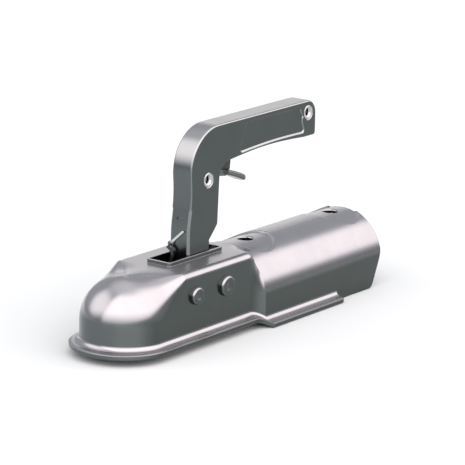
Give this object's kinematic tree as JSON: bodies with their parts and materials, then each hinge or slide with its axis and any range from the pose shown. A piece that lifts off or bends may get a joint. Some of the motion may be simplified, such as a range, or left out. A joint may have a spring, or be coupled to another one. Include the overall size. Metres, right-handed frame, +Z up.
{
  "type": "trailer coupling head",
  "caption": "Ball coupling head in pressed sheet for a round drawbar, with a hand lever, a trigger catch and a sprung jaw that closes on the ball.",
  "frame": {"origin": "centre of the towing ball in the closed socket", "axes": "+X along the drawbar from the ball to the trailer, +Y across to the right hand of someone who looks along +Z up from the ball's front, +Z up"},
  "size_m": [0.283, 0.084, 0.1383],
  "materials": {
    "zinc_body": "bright zinc plate over pressed sheet",
    "zinc_lever": "bright zinc plate, smooth",
    "zinc_trigger": "zinc plate, satin",
    "zinc_pin": "zinc plate, turned",
    "bright_rivet": "bright",
    "plain_steel": "plain, satin",
    "spring_wire": "dark drawn wire",
    "cast_jaw": "cast, seat machined",
    "black_plastic": "matt",
    "pale_needle": "satin"
  },
  "bodies": {
    "housing": {"housing": "zinc_body", "jaw_pin": "zinc_pin", "lever_pin": "zinc_pin", "jaw_spacers": "plain_steel", "lever_spacers": "plain_steel", "catch_bar": "plain_steel", "jaw_spring": "spring_wire"},
    "lever": {"lever": "zinc_lever", "lever_bush": "plain_steel", "trigger_rivet": "bright_rivet", "grip_rivet": "bright_rivet", "grip_spacer": "plain_steel", "roller_pin": "zinc_pin", "needle_pin": "zinc_pin", "feeler_wire": "black_plastic", "spring_seat": "plain_steel", "catch_spring": "spring_wire", "trigger_spring": "spring_wire"},
    "trigger": {"trigger": "zinc_trigger", "trigger_pad": "black_plastic", "rod_pin": "zinc_pin"},
    "catch": {"catch_rod": "plain_steel"},
    "jaw": {"ball_jaw": "cast_jaw", "main_spring": "spring_wire"},
    "plunger": {"thrust_plunger": "plain_steel"},
    "roller": {"thrust_roller": "plain_steel"},
    "needle": {"wear_needle": "pale_needle"}
  },
  "joints": [
    {"name": "lever_lift", "type": "hinge", "parent": "housing", "child": "lever", "pos_m": [0.071, 0, 0.0125], "axis": [0, -1, 0], "range_deg": [0, 32]},
    {"name": "jaw_swing", "type": "hinge", "parent": "housing", "child": "jaw", "pos_m": [0.0385, 0, 0.0125], "axis": [0, -1, 0], "range_deg": [0, 16], "deforming": ["jaw_spring"]},
    {"name": "trigger_squeeze", "type": "hinge", "parent": "lever", "child": "trigger", "pos_m": [0.078, 0, 0.0795], "axis": [0, -1, 0], "range_deg": [0, 12], "stiffness_Nm_per_rad": 0.2, "springref_deg": -17.19, "deforming": ["trigger_spring"]},
    {"name": "catch_slide", "type": "slide", "parent": "lever", "child": "catch", "axis": [0, 0, 1], "range_m": [0, 0.00225], "deforming": ["catch_spring"]},
    {"name": "plunger_slide", "type": "slide", "parent": "jaw", "child": "plunger", "axis": [-1, 0, 0], "range_m": [0, 0.003], "stiffness_N_per_m": 600, "springref_m": -0.01, "deforming": ["main_spring"]},
    {"name": "roller_spin", "type": "hinge", "parent": "lever", "child": "roller", "pos_m": [0.0555, 0, -0.0045], "axis": [0, 1, 0], "continuous": true},
    {"name": "needle_turn", "type": "hinge", "parent": "lever", "child": "needle", "pos_m": [0.056, 0.006, 0.0385], "axis": [1, 0, 0], "range_deg": [0, 24.1]}
  ],
  "couplings": [
    {"joint": "jaw_swing", "follows": "lever_lift", "ratio": 0.5},
    {"joint": "catch_slide", "follows": "trigger_squeeze", "m_per_rad": 0.0105},
    {"joint": "needle_turn", "follows": "lever_lift", "ratio": 0.75}
  ]
}
